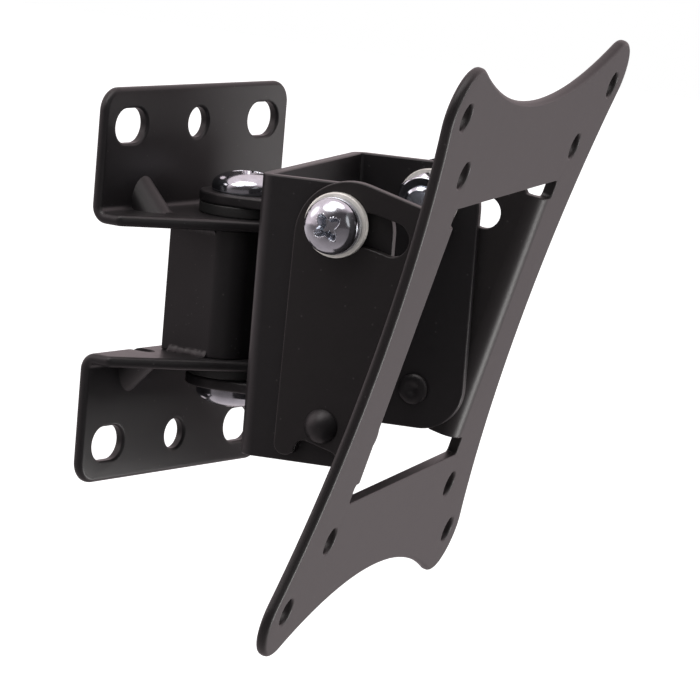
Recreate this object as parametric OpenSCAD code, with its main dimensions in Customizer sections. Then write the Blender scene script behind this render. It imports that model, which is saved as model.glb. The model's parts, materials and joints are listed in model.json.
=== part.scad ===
// Swivelling and tilting wall mount for a small flat screen, folded from steel sheet.
// The origin lies on the wall, at the middle of the wall fixing holes. +Z is up, +Y runs into the wall,
// and the screen side faces -Y. Everything is in millimetres.

/* [Sheet steel] */
// Thickness of the two wall angles and the centre post
wall_sheet_t = 2.2; // [1.6:0.1:2.6]
// Thickness of the swivel box
box_sheet_t = 2.2; // [1.6:0.1:2.6]
// Thickness of the hinge bracket
hinge_sheet_t = 2.2; // [1.6:0.1:2.6]
// Thickness of the screen plate and its ears
plate_sheet_t = 2.2; // [1.6:0.1:2.6]
// Inside radius of the fold of a wall angle
angle_fold_r = 1.2; // [0.6:0.1:2.0]
// Inside radius of the folds of the swivel box
box_fold_r = 0.8; // [0.4:0.1:2.0]
// Inside radius of the folds of the hinge bracket
hinge_fold_r = 1.0; // [0.4:0.1:1.4]
// Inside radius of the folds between the screen plate and its ears
ear_fold_r = 1.7; // [1.0:0.1:2.2]
// Play between each ear and the side of the swivel box
ear_play = 0.1; // [0.05:0.05:0.3]

/* [Wall angles] */
// Width of both wall angles
wall_w = 59.2; // [58:0.2:80]
// Height of a flange beyond the outer face of its lug
flange_h = 24.2; // [22:0.2:36]
// Radius of the outer corners of a flange
flange_corner_r = 4.5; // [1:0.5:7]
// Clear height between the two lugs
lug_gap = 25.6; // [23:0.2:28]
// Radius of the lug round the swivel axis
lug_r = 11.8; // [11:0.1:12]
// Straight length of a lug's sides, out from the wall
lug_side = 7.2; // [6:0.1:8.4]
// Radius of the pressed ribs in the corner of a wall angle
dart_r = 3.8; // [3.4:0.1:5]
// How far a rib's axis stands off the corner
dart_lift = 0.8; // [0.4:0.1:1.2]
// Distance between the two ribs of a wall angle
dart_spacing = 32; // [28:0.5:38]

/* [Wall fixing holes] */
// Distance between the two outer holes of a row
wall_hole_spacing = 42.6; // [38:0.2:46]
// Height of a row of holes beyond the outer face of its lug
wall_row_up = 16.6; // [15:0.2:18]
// End to end length of an outer hole
wall_slot_len = 9.7; // [8:0.1:11]
// Width of an outer hole
wall_slot_w = 6.9; // [5.5:0.1:8]
// Diameter of the middle hole of a row
wall_mid_d = 6.1; // [4.5:0.1:8]

/* [Centre post] */
// Width of the post
post_w = 23; // [22:0.2:24]
// Depth of the post, front to back
post_depth = 16.4; // [15:0.2:17]
// Outside radius of the post's two front folds
post_corner_r = 5; // [4:0.2:6]
// Leg of the weld fillets along the post's ends
post_weld_leg = 1.4; // [0.8:0.1:1.8]

/* [Swivel pivot] */
// Distance from the wall to the swivel axis
axis_reach = 15.4; // [15:0.1:18]
// Diameter of the smooth barrel that the head turns on
barrel_d = 8; // [7:0.1:8.2]
// Radial running clearance of the hinge bracket on the barrel
barrel_fit = 0.05; // [0.02:0.01:0.1]
// Diameter of the screw that runs into the barrel
swivel_thread_d = 6; // [5:0.1:6.2]
// Diameter of the two round swivel heads
swivel_head_d = 14; // [12:0.2:16]
// Height of the two round swivel heads
swivel_head_h = 4.2; // [3.4:0.1:5]
// Thickness of the friction washers between lug and hinge bracket
friction_washer_t = 2.2; // [1.2:0.1:2.6]
// Diameter of the friction washers
friction_washer_d = 18.4; // [16:0.2:20]

/* [Swivel box] */
// Width across the outside of the box
box_w = 57.2; // [52:0.2:60]
// Depth of the box from its back face to its front edges
box_depth = 27.8; // [26:0.2:30]
// Height of the box
box_h = 54.6; // [53:0.2:58]
// How far the middle of the box lies below the middle of the wall angles
box_drop = 0.4; // [0:0.1:1]
// Distance from the swivel axis to the back face of the box
box_setback = 12.4; // [12.3:0.1:15]
// Radius of the front corners of the box's side walls
box_corner_r = 9; // [5:0.5:10]
// Width of the hinge bracket
hinge_w = 18.6; // [17:0.2:20]
// Side and end clearance of the hinge bracket in the slots of the box
hinge_slot_gap = 0.3; // [0.1:0.1:0.5]
// Leg of the weld fillets beside the hinge bracket
hinge_weld_leg = 1.6; // [1:0.1:2]

/* [Tilt pivot and lock] */
// Height of the tilt pivot above the bottom of the box
pivot_up = 8; // [7.5:0.1:9]
// Distance from the back face of the box to the tilt pivot
pivot_front = 17.4; // [16:0.1:18]
// Distance from the tilt pivot up to the tilt screw
tilt_arm = 38.9; // [37:0.1:39]
// Tilt of the screen plate as it stands, top edge forward
tilt_rest = 15.5; // [10:0.1:16]
// Swivel of the head as it stands, toward +X
swivel_rest = 17; // [0:0.5:20]
// Diameter of the pivot rivets
rivet_d = 5; // [4:0.1:5.4]
// Diameter of a pivot rivet's domed head
rivet_head_d = 6.8; // [6:0.1:7.4]
// Height of a pivot rivet's domed head
rivet_head_h = 2.0; // [1.4:0.1:2.6]
// Height of a pivot rivet's closed end
rivet_tail_h = 1.1; // [0.8:0.1:1.6]
// Radial running clearance of the ears on the pivot rivets
rivet_fit = 0.05; // [0.02:0.01:0.1]
// Diameter of the tilt screws
tilt_screw_d = 6; // [5:0.1:6.2]
// Length of the tilt screws under the head
tilt_screw_len = 16; // [15:0.5:20]
// Diameter of a tilt screw's head
tilt_head_d = 10.8; // [9.5:0.1:12]
// Height of a tilt screw's head
tilt_head_h = 3.9; // [3:0.1:4.5]
// Diameter of the flat washers
flat_washer_d = 12.5; // [11.5:0.1:14]
// Thickness of the flat washers
flat_washer_t = 1.6; // [1:0.1:2]
// Diameter of the split washers
split_washer_d = 11; // [9:0.1:12]
// Thickness of the split washers
split_washer_t = 1.6; // [1:0.1:2]
// Width across the flats of the tilt nuts
nut_flats = 10; // [9:0.1:11]
// Height of the tilt nuts
nut_h = 5; // [4:0.1:6]

/* [Screen plate] */
// Distance from the tilt pivot to the front face of the screen plate
plate_reach = 11.3; // [10.5:0.1:14]
// Height of the middle of the screen plate above the tilt pivot
plate_up = 19.3; // [18.8:0.1:20]
// Half width to the middle of a rounded tip
tip_x = 49.4; // [48:0.1:51]
// Half height to the middle of a rounded tip
tip_z = 51; // [49.5:0.1:52]
// Radius of the four rounded tips
tip_r = 8.4; // [7.5:0.1:9.5]
// Radius of the hollow top and bottom edges
hollow_top_r = 122; // [105:1:140]
// Radius of the hollow side edges
hollow_side_r = 117; // [100:1:135]
// Diameter of the screen fixing holes
screen_hole_d = 5.2; // [4.2:0.1:6]
// Half height of the window between the ears
window_half_h = 30.3; // [29.5:0.1:31.5]
// Half length of the folds that carry the ears
ear_fold_half = 26.4; // [25:0.1:27]
// How far the relief notches reach past the folds
relief_reach = 1.3; // [0.8:0.1:2]
// Radius in the corners of the window
window_corner_r = 0.8; // [0.4:0.1:1.2]

/* [Ears] */
// Distance from the plate's front face to the middle of an ear's upper curve
ear_top_y = 18.6; // [17.5:0.1:20]
// Height of the middle of an ear's upper curve above the middle of the plate
ear_top_z = 16.3; // [15:0.1:17]
// Radius of an ear's upper curve
ear_top_r = 11.1; // [10:0.1:12]
// Distance from the plate's front face to the middle of an ear's lower lobe
ear_lobe_y = 17; // [16.6:0.1:18]
// Height of the middle of an ear's lower lobe below the middle of the plate
ear_lobe_z = 25.3; // [24.8:0.1:26]
// Radius of an ear's lower lobe
ear_lobe_r = 2.2; // [1.8:0.1:2.6]
// Distance from the plate's front face to the notch below the pivot
notch_start = 6.2; // [5.4:0.1:7]
// Height of the solid sheet between the pivot's middle and the notch
notch_below = 3.9; // [3.7:0.1:4.5]
// Width of the curved slot for the tilt screw
tilt_slot_w = 6.6; // [6.4:0.1:7.4]
// Angle that each end of the curved slot runs past the tilt screw
slot_overrun = 0.9; // [0.5:0.1:2]

/* [Hidden] */
$fn = 96;
// Colours of the painted steel, the plated fasteners and the black plastic
frame_grey = [0.23, 0.22, 0.23];
plate_grey = [0.40, 0.37, 0.36];
plated = [0.80, 0.80, 0.82];
black_plastic = [0.05, 0.05, 0.05];
// Small extra length that a cut runs past the sheet it goes through
past = 1;
// Overlap that keeps two curves from only touching where one runs into the next
blend_overlap = 0.02;
// Height of the outer face of a lug above the middle of the part
lug_top = lug_gap / 2 + wall_sheet_t;
// Height of the top edge of a flange and of a row of wall holes
flange_top = lug_top + flange_h;
wall_row_z = lug_top + wall_row_up;
// Inner and outer height of a hinge ear
hinge_in_z = lug_top + friction_washer_t;
hinge_out_z = hinge_in_z + hinge_sheet_t;
// Front face of the centre post, the barrel's seat in the lugs and the barrel's bore
post_front = axis_reach + barrel_d / 2 + 0.6 + wall_sheet_t;
post_weld_len = post_depth - post_corner_r - 2;
barrel_hole_d = barrel_d + 2 * barrel_fit;
thread_gap = 0.05;
// Bottom of the box, place of the tilt pivot in the swivelling frame, and the box's side walls
box_bottom = -box_h / 2 - box_drop;
pivot_z = box_bottom + pivot_up;
pivot_y = -box_setback - pivot_front;
wall_in = box_w / 2 - box_sheet_t;
ear_in = box_w / 2 + ear_play;
ear_out = ear_in + plate_sheet_t;
// Half width between the fold lines of the window, where the flat plate starts
fold_line = ear_out + ear_fold_r;
fold_out_r = ear_fold_r + plate_sheet_t;
// Height of the tilt pivot as seen from the middle of the screen plate
pivot_rel = -plate_up;
// Lowest depth of the hollow edges, from the rule that each tip meets them without a corner
hollow_top_z = tip_z - hollow_top_r + sqrt(pow(hollow_top_r + tip_r, 2) - pow(tip_x, 2));
hollow_side_x = tip_x - hollow_side_r + sqrt(pow(hollow_side_r + tip_r, 2) - pow(tip_z, 2));
// Stations along the tilt screws, out from the middle of the part
flat_washer_x = ear_out;
split_washer_x = flat_washer_x + flat_washer_t;
head_x = split_washer_x + split_washer_t;
inner_washer_t = 1.2;
nut_x = wall_in - inner_washer_t;
washer_bore = tilt_screw_d + 0.4;

// Places a child that swivels with the head, with the swivel axis as its Z axis
module on_head() {
  translate([0, -axis_reach, 0]) rotate([0, 0, swivel_rest]) children();
}

// Places a child that tilts with the screen plate, with the tilt axis as its X axis
module on_plate() {
  on_head() translate([0, pivot_y, pivot_z]) rotate([tilt_rest, 0, 0]) children();
}

// Turns a flat outline drawn as (depth, height) into a block that spans the given width
module across(width) {
  rotate([90, 0, 90]) translate([0, 0, -width / 2]) linear_extrude(width) children();
}

// Turns a flat outline drawn as (width, height) into a block between two depths
module through(y_from, y_to) {
  translate([0, y_to, 0]) rotate([90, 0, 0]) linear_extrude(y_to - y_from) children();
}

// Rounded slot, drawn flat along X
module slot_2d(length, width) {
  square([length - width, width], center = true);
  for (side = [-1, 1]) translate([side * (length - width) / 2, 0]) circle(d = width);
}

// Square corner of side r with the quarter circle cut out of it, drawn flat
module fillet_2d(r) {
  difference() {
    square(r);
    translate([r, r]) circle(r);
  }
}

// Outline with all corners square but the two upper ones, which are rounded
module top_rounded_2d(w, low, high, r) {
  translate([-w / 2, low]) square([w, high - low - r]);
  translate([-w / 2 + r, low]) square([w - 2 * r, high - low]);
  for (side = [-1, 1]) translate([side * (w / 2 - r), high - r]) circle(r);
}

// Side view of a wall angle, wall at x = 0 and lug outer face at lug_top, drawn as (depth, height)
module angle_side_2d() {
  outer_r = angle_fold_r + wall_sheet_t;
  fold = [-outer_r, lug_gap / 2 + outer_r];
  translate([-wall_sheet_t, fold[1]]) square([wall_sheet_t, flange_top - fold[1]]);
  translate([-axis_reach - lug_r - past, lug_gap / 2]) square([axis_reach + lug_r + past - outer_r, wall_sheet_t]);
  intersection() {
    translate(fold) difference() {
      circle(outer_r);
      circle(angle_fold_r);
    }
    translate([fold[0], lug_gap / 2]) square(outer_r);
  }
}

// Plan of a lug: full width at the wall, then straight sides that run to a round end on the swivel axis
module lug_plan_2d() {
  centre = [0, -axis_reach];
  corner = [wall_w / 2, -lug_side];
  reach = norm(corner - centre);
  lean = atan2(corner[1] - centre[1], corner[0]) - acos(lug_r / reach);
  touch = centre + lug_r * [cos(lean), sin(lean)];
  translate(centre) circle(lug_r);
  polygon([[-corner[0], past], [-corner[0], corner[1]], [-touch[0], touch[1]], centre,
    touch, corner, [corner[0], past]]);
}

// Round bar across the corner of the fold at 45 degrees, which forms a pressed rib.
// A tail carries its width out through the back of the fold.
module dart_bar(r, tail) {
  for (side = [-1, 1])
    translate([side * dart_spacing / 2, -wall_sheet_t, lug_top]) rotate([-45, 0, 0])
      linear_extrude(60, center = true) {
        translate([0, -dart_lift]) circle(r);
        translate([-r, -dart_lift]) square([2 * r, dart_lift + tail]);
      }
}

// Flange with its three wall holes, drawn flat as (width, height)
module flange_2d() {
  difference() {
    top_rounded_2d(wall_w, lug_gap / 2, flange_top, flange_corner_r);
    for (side = [-1, 1]) translate([side * wall_hole_spacing / 2, wall_row_z]) slot_2d(wall_slot_len, wall_slot_w);
    translate([0, wall_row_z]) circle(d = wall_mid_d);
  }
}

// One folded wall angle, with its flange up and its lug out from the wall
module wall_angle() {
  difference() {
    union() {
      intersection() {
        across(wall_w) angle_side_2d();
        through(-axis_reach - lug_r - past, past) flange_2d();
        translate([0, 0, lug_gap / 2 - past]) linear_extrude(flange_top) lug_plan_2d();
      }
      intersection() {
        dart_bar(dart_r, 0);
        translate([-wall_w / 2, -wall_sheet_t - 2 * dart_r, lug_top - wall_sheet_t / 2])
          cube([wall_w, wall_sheet_t / 2 + 2 * dart_r, 2 * dart_r + wall_sheet_t]);
      }
    }
    dart_bar(dart_r - wall_sheet_t, 2 * wall_sheet_t);
    translate([0, -axis_reach, lug_gap / 2 - past]) cylinder(d = barrel_hole_d, h = wall_sheet_t + 2 * past);
  }
}

module upper_wall_angle() {
  color(frame_grey) wall_angle();
}

module lower_wall_angle() {
  color(frame_grey) mirror([0, 0, 1]) wall_angle();
}

// Channel between the lugs, open toward the wall, with the swivel barrel inside it
module centre_post() {
  inner_r = post_corner_r - wall_sheet_t;
  color(frame_grey) translate([0, 0, -lug_gap / 2]) linear_extrude(lug_gap) difference() {
    post_plan_2d(post_w, post_front, post_corner_r);
    translate([0, past]) post_plan_2d(post_w - 2 * wall_sheet_t, post_front - wall_sheet_t + past, inner_r);
  }
}

// Plan of the post's outside or inside, with its two front corners rounded
module post_plan_2d(w, front, r) {
  back = post_front - post_depth;
  translate([-w / 2, -front + r]) square([w, front - back - r]);
  translate([-w / 2 + r, -front]) square([w - 2 * r, front - back]);
  for (side = [-1, 1]) translate([side * (w / 2 - r), -front + r]) circle(r);
}

// Four weld fillets, where the post's sides meet the two lugs
module post_welds() {
  color(frame_grey) for (side = [0, 1], up = [0, 1]) mirror([side, 0, 0]) mirror([0, 0, up])
    translate([post_w / 2, -post_front + post_corner_r, lug_gap / 2]) rotate([-90, 0, 0])
      linear_extrude(post_weld_len) fillet_2d(post_weld_leg);
}

// Flat ring with its lower face at z = 0
module ring(outer_d, bore_d, height) {
  linear_extrude(height) difference() {
    circle(d = outer_d);
    circle(d = bore_d);
  }
}

// Low round screw head on z = 0 with a well rounded rim, turned from one profile
module pan_head(d, h) {
  rim = 0.62 * h;
  rotate_extrude() {
    square([d / 2 - rim, h]);
    square([d / 2, h - rim]);
    intersection() {
      translate([d / 2 - rim, h - rim]) circle(rim);
      square([d / 2, h]);
    }
  }
}

// Cross recess for a driver, narrowing downward from z = 0
module cross_recess(width, depth) {
  intersection() {
    for (turn = [0, 90]) rotate([0, 0, turn]) cube([width, width * 0.24, 2 * depth], center = true);
    translate([0, 0, -depth]) cylinder(r1 = width * 0.14, r2 = width * 0.55, h = depth + past);
  }
}

module swivel_screw() {
  color(plated) translate([0, -axis_reach, hinge_out_z]) {
    difference() {
      pan_head(swivel_head_d, swivel_head_h);
      translate([0, 0, swivel_head_h]) cross_recess(swivel_head_d * 0.5, swivel_head_h * 0.6);
    }
    translate([0, 0, -16]) cylinder(d = swivel_thread_d, h = 16);
  }
}

// Round head with a smooth barrel, which the head turns on and the swivel screw runs into
module swivel_sleeve_nut() {
  color(plated) translate([0, -axis_reach, 0]) difference() {
    union() {
      translate([0, 0, -hinge_out_z]) mirror([0, 0, 1]) pan_head(swivel_head_d, swivel_head_h);
      translate([0, 0, -hinge_out_z]) cylinder(d = barrel_d, h = 2 * hinge_out_z - 0.6);
    }
    translate([0, 0, hinge_out_z - 18]) cylinder(d = swivel_thread_d + 2 * thread_gap, h = 20);
    translate([0, 0, -hinge_out_z - swivel_head_h]) mirror([0, 0, 1])
      cross_recess(swivel_head_d * 0.5, swivel_head_h * 0.6);
  }
}

module upper_friction_washer() {
  color(black_plastic) translate([0, -axis_reach, lug_top])
    ring(friction_washer_d, barrel_hole_d, friction_washer_t);
}

module lower_friction_washer() {
  color(black_plastic) translate([0, -axis_reach, -lug_top - friction_washer_t])
    ring(friction_washer_d, barrel_hole_d, friction_washer_t);
}

// Plan of the box: back wall with two folded side walls, open to the front
module box_plan_2d() {
  outer_r = box_fold_r + box_sheet_t;
  difference() {
    box_outline_2d(box_w, -box_setback, outer_r, 0);
    box_outline_2d(box_w - 2 * box_sheet_t, -box_setback - box_sheet_t, box_fold_r, past);
  }
}

// Three-sided outline with its two back corners rounded, running past the front by the given length
module box_outline_2d(w, back, r, extra) {
  front = -box_setback - box_depth - extra;
  translate([-w / 2, front]) square([w, back - r - front]);
  translate([-w / 2 + r, front]) square([w - 2 * r, back - front]);
  for (side = [-1, 1]) translate([side * (w / 2 - r), back - r]) circle(r);
}

// Side wall of the box with its rounded front corners, drawn as (depth, height)
module box_side_2d() {
  front = -box_setback - box_depth;
  translate([front + box_corner_r, box_bottom]) square([box_depth - box_corner_r + past, box_h]);
  translate([front, box_bottom + box_corner_r]) square([box_depth, box_h - 2 * box_corner_r]);
  for (z = [box_bottom + box_corner_r, box_bottom + box_h - box_corner_r])
    translate([front + box_corner_r, z]) circle(box_corner_r);
}

// One folded box that carries the tilt pivots and takes the hinge bracket's ears through two slots
module swivel_box() {
  slot_low = hinge_in_z - hinge_fold_r - hinge_slot_gap;
  slot_high = hinge_out_z + hinge_slot_gap;
  color(frame_grey) on_head() difference() {
    intersection() {
      translate([0, 0, box_bottom - past]) linear_extrude(box_h + 2 * past) box_plan_2d();
      across(box_w) box_side_2d();
    }
    for (up = [0, 1]) mirror([0, 0, up])
      translate([-hinge_w / 2 - hinge_slot_gap, -box_setback - box_sheet_t - past, slot_low])
        cube([hinge_w + 2 * hinge_slot_gap, box_sheet_t + 2 * past, slot_high - slot_low]);
    translate([0, pivot_y, pivot_z]) rotate([0, 90, 0])
      cylinder(d = rivet_d + 2 * rivet_fit, h = box_w + 2 * past, center = true);
    translate([0, pivot_y, pivot_z + tilt_arm]) rotate([0, 90, 0])
      cylinder(d = washer_bore, h = box_w + 2 * past, center = true);
  }
}

// Side view of the hinge bracket: a web inside the box and two ears that reach back, drawn as (depth, height)
module hinge_side_2d() {
  outer_r = hinge_fold_r + hinge_sheet_t;
  web_back = -box_setback - box_sheet_t;
  web_front = web_back - hinge_sheet_t;
  difference() {
    union() {
      translate([web_front, -hinge_out_z + outer_r]) square([outer_r, 2 * (hinge_out_z - outer_r)]);
      translate([web_front + outer_r, -hinge_out_z]) square([hinge_w / 2 - web_front, 2 * hinge_out_z]);
      for (side = [-1, 1]) translate([web_front + outer_r, side * (hinge_out_z - outer_r)]) circle(outer_r);
    }
    translate([web_back, -hinge_in_z + hinge_fold_r]) square([hinge_fold_r, 2 * (hinge_in_z - hinge_fold_r)]);
    translate([web_back + hinge_fold_r, -hinge_in_z]) square([hinge_w - web_back, 2 * hinge_in_z]);
    for (side = [-1, 1])
      translate([web_back + hinge_fold_r, side * (hinge_in_z - hinge_fold_r)]) circle(hinge_fold_r);
  }
}

module hinge_bracket() {
  web_front = -box_setback - box_sheet_t - hinge_sheet_t;
  color(frame_grey) on_head() difference() {
    intersection() {
      across(hinge_w) hinge_side_2d();
      translate([0, 0, -hinge_out_z - past]) linear_extrude(2 * hinge_out_z + 2 * past) {
        circle(d = hinge_w);
        translate([-hinge_w / 2, web_front]) square([hinge_w, -web_front]);
      }
    }
    cylinder(d = barrel_hole_d, h = 2 * hinge_out_z + 2 * past, center = true);
  }
}

// Two weld fillets that hold the web of the hinge bracket to the inside of the box
module hinge_welds() {
  half = hinge_in_z - hinge_fold_r - 3;
  color(frame_grey) on_head() for (side = [0, 1]) mirror([side, 0, 0])
    translate([hinge_w / 2, -box_setback - box_sheet_t, half]) rotate([180, 0, 0])
      linear_extrude(2 * half) fillet_2d(hinge_weld_leg);
}

// Places a child for each side so that its Z axis runs outward along the tilt axis
module on_side(side, up) {
  on_head() translate([0, pivot_y, pivot_z + up]) rotate([0, side * 90, 0]) children();
}

// Domed rivet through ear and box wall, closed over on the inside
module pivot_rivet(side) {
  dome_r = (pow(rivet_head_d / 2, 2) + pow(rivet_head_h, 2)) / (2 * rivet_head_h);
  color(frame_grey) on_side(side, 0) {
    translate([0, 0, ear_out]) intersection() {
      translate([0, 0, rivet_head_h - dome_r]) sphere(dome_r);
      cylinder(d = rivet_head_d, h = rivet_head_h + past);
    }
    translate([0, 0, wall_in - rivet_tail_h / 2]) cylinder(d = rivet_d, h = ear_out - wall_in + rivet_tail_h / 2);
    translate([0, 0, wall_in - rivet_tail_h])
      cylinder(d1 = rivet_d, d2 = rivet_d + 1.2, h = rivet_tail_h);
  }
}

module tilt_screw(side) {
  color(plated) on_side(side, tilt_arm) {
    translate([0, 0, head_x]) difference() {
      pan_head(tilt_head_d, tilt_head_h);
      translate([0, 0, tilt_head_h]) rotate([0, 0, 22]) cross_recess(tilt_head_d * 0.55, tilt_head_h * 0.62);
    }
    translate([0, 0, head_x - tilt_screw_len]) cylinder(d = tilt_screw_d, h = tilt_screw_len);
  }
}

// Spring washer, cut through on a slant at one place
module split_washer(side) {
  color(plated) on_side(side, tilt_arm) translate([0, 0, split_washer_x]) difference() {
    ring(split_washer_d, washer_bore, split_washer_t);
    rotate([0, 0, side * 10]) translate([0, split_washer_d / 2, split_washer_t / 2]) rotate([0, 20, 0])
      cube([0.5, split_washer_d, 4 * split_washer_t], center = true);
  }
}

module flat_washer(side) {
  color(plated) on_side(side, tilt_arm) translate([0, 0, flat_washer_x])
    ring(flat_washer_d, washer_bore, flat_washer_t);
}

module inner_washer(side) {
  color(plated) on_side(side, tilt_arm) translate([0, 0, nut_x])
    ring(flat_washer_d, washer_bore, inner_washer_t);
}

// Hexagon nut with its corners turned off on both faces
module tilt_nut(side) {
  corner_d = nut_flats / cos(30);
  color(plated) on_side(side, tilt_arm) translate([0, 0, nut_x - nut_h]) difference() {
    intersection() {
      cylinder(d = corner_d, h = nut_h, $fn = 6);
      cylinder(d1 = nut_flats * 0.96, d2 = nut_flats * 0.96 + 2 * nut_h, h = nut_h);
      cylinder(d2 = nut_flats * 0.96, d1 = nut_flats * 0.96 + 2 * nut_h, h = nut_h);
    }
    translate([0, 0, -past]) cylinder(d = tilt_screw_d + 2 * thread_gap, h = nut_h + 2 * past);
  }
}

// Outline of the screen plate: four rounded tips joined by hollow edges
module plate_outline_2d() {
  top_mid = hollow_top_z + hollow_top_r;
  side_mid = hollow_side_x + hollow_side_r;
  // Where a tip meets the hollow edge above it and the hollow edge beside it
  over = tip_r / (hollow_top_r + tip_r);
  beside = tip_r / (hollow_side_r + tip_r);
  a = [tip_x - tip_x * over, tip_z + (top_mid - tip_z) * over];
  b = [tip_x + (side_mid - tip_x) * beside, tip_z - tip_z * beside];
  difference() {
    union() {
      polygon([a, [tip_x, tip_z], b, [b[0], -b[1]], [tip_x, -tip_z], [a[0], -a[1]],
        [-a[0], -a[1]], [-tip_x, -tip_z], [-b[0], -b[1]], [-b[0], b[1]], [-tip_x, tip_z], [-a[0], a[1]]]);
      for (sx = [-1, 1], sz = [-1, 1]) translate([sx * tip_x, sz * tip_z]) circle(tip_r);
    }
    for (side = [-1, 1]) {
      translate([0, side * top_mid]) circle(hollow_top_r + blend_overlap, $fn = 360);
      translate([side * side_mid, 0]) circle(hollow_side_r + blend_overlap, $fn = 360);
    }
  }
}

// Window between the ears, with the relief notches at both ends of each fold
module window_2d() {
  square([2 * fold_line, 2 * ear_fold_half], center = true);
  for (side = [-1, 1]) translate([0, side * (ear_fold_half + window_half_h) / 2])
    soft_corner_2d(2 * (fold_line + relief_reach), window_half_h - ear_fold_half, window_corner_r);
}

// Rectangle with four rounded corners
module soft_corner_2d(w, h, r) {
  square([w - 2 * r, h], center = true);
  square([w, h - 2 * r], center = true);
  for (sx = [-1, 1], sy = [-1, 1]) translate([sx * (w / 2 - r), sy * (h / 2 - r)]) circle(r);
}

// Screen fixing holes on the 75 mm and 100 mm squares
module screen_holes_2d() {
  for (square_side = [75, 100], sx = [-1, 1], sz = [-1, 1])
    translate([sx * square_side / 2, sz * square_side / 2]) circle(d = screen_hole_d);
}

// Curved slot round the tilt pivot, drawn with the pivot at the origin
module tilt_slot_2d() {
  first = -slot_overrun;
  last = tilt_rest + slot_overrun;
  far = 2 * tilt_arm;
  intersection() {
    difference() {
      circle(tilt_arm + tilt_slot_w / 2, $fn = 240);
      circle(tilt_arm - tilt_slot_w / 2, $fn = 240);
    }
    polygon([[0, 0], far * [sin(first), cos(first)], far * [sin(last), cos(last)]]);
  }
  for (a = [first, last]) translate(tilt_arm * [sin(a), cos(a)]) circle(tilt_slot_w / 2 + blend_overlap);
}

// Outline of an ear, drawn as (distance behind the plate's front face, height above its middle)
module ear_2d() {
  top_mid = [ear_top_y, ear_top_z];
  lobe_mid = [ear_lobe_y, -ear_lobe_z];
  rise = top_mid - lobe_mid;
  lean = asin((ear_top_r - ear_lobe_r) / norm(rise)) + atan2(rise[0], rise[1]);
  edge = [cos(lean), -sin(lean)];
  top = ear_top_z + ear_top_r;
  step = top - ear_fold_half;
  difference() {
    union() {
      polygon([[fold_out_r, -ear_fold_half], [ear_lobe_y, -ear_fold_half], lobe_mid, lobe_mid + ear_lobe_r * edge,
        top_mid + ear_top_r * edge, top_mid, [ear_top_y, top], [fold_out_r + step, top], [fold_out_r, ear_fold_half]]);
      translate(top_mid) circle(ear_top_r);
      translate(lobe_mid) circle(ear_lobe_r);
    }
    notch_2d(notch_start, ear_lobe_y - ear_lobe_r, pivot_rel - notch_below);
    translate([plate_reach, pivot_rel]) circle(d = rivet_d + 2 * rivet_fit);
    translate([plate_reach, pivot_rel]) tilt_slot_2d();
  }
}

// Notch in the lower edge of an ear, with its two inner corners rounded
module notch_2d(from, to, top) {
  r = 1.6;
  translate([from, top - 40]) square([to - from, 40 - r]);
  translate([from + r, top - 40]) square([to - from - 2 * r, 40]);
  for (y = [from + r, to - r]) translate([y, top - r]) circle(r);
}

// Quarter turn of sheet from the plate into an ear on the +X side, drawn as (width, depth)
module ear_fold_2d() {
  translate([fold_line, fold_out_r]) intersection() {
    difference() {
      circle(fold_out_r);
      circle(ear_fold_r);
    }
    translate([-fold_out_r, -fold_out_r]) square(fold_out_r);
  }
}

// One sheet: the screen plate with its two ears folded back from the sides of the window
module screen_plate() {
  color(plate_grey) on_plate() translate([0, -plate_reach, plate_up]) {
    through(0, plate_sheet_t) difference() {
      plate_outline_2d();
      window_2d();
      screen_holes_2d();
    }
    for (side = [0, 1]) mirror([side, 0, 0]) {
      translate([0, 0, -ear_fold_half]) linear_extrude(2 * ear_fold_half) ear_fold_2d();
      translate([ear_in, 0, 0]) rotate([90, 0, 90]) linear_extrude(plate_sheet_t) ear_2d();
    }
  }
}

upper_wall_angle();
lower_wall_angle();
centre_post();
post_welds();
swivel_screw();
swivel_sleeve_nut();
upper_friction_washer();
lower_friction_washer();
swivel_box();
hinge_bracket();
hinge_welds();
pivot_rivet(-1);  // left_pivot_rivet
pivot_rivet(1);  // right_pivot_rivet
tilt_screw(-1);  // left_tilt_screw
tilt_screw(1);  // right_tilt_screw
split_washer(-1);  // left_split_washer
split_washer(1);  // right_split_washer
flat_washer(-1);  // left_flat_washer
flat_washer(1);  // right_flat_washer
inner_washer(-1);  // left_inner_washer
inner_washer(1);  // right_inner_washer
tilt_nut(-1);  // left_tilt_nut
tilt_nut(1);  // right_tilt_nut
screen_plate();
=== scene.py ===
"""Looks of a swivelling and tilting wall mount for a small flat screen.

The shown pieces are made round the mount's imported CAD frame. Lengths are in metres.
"""

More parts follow.
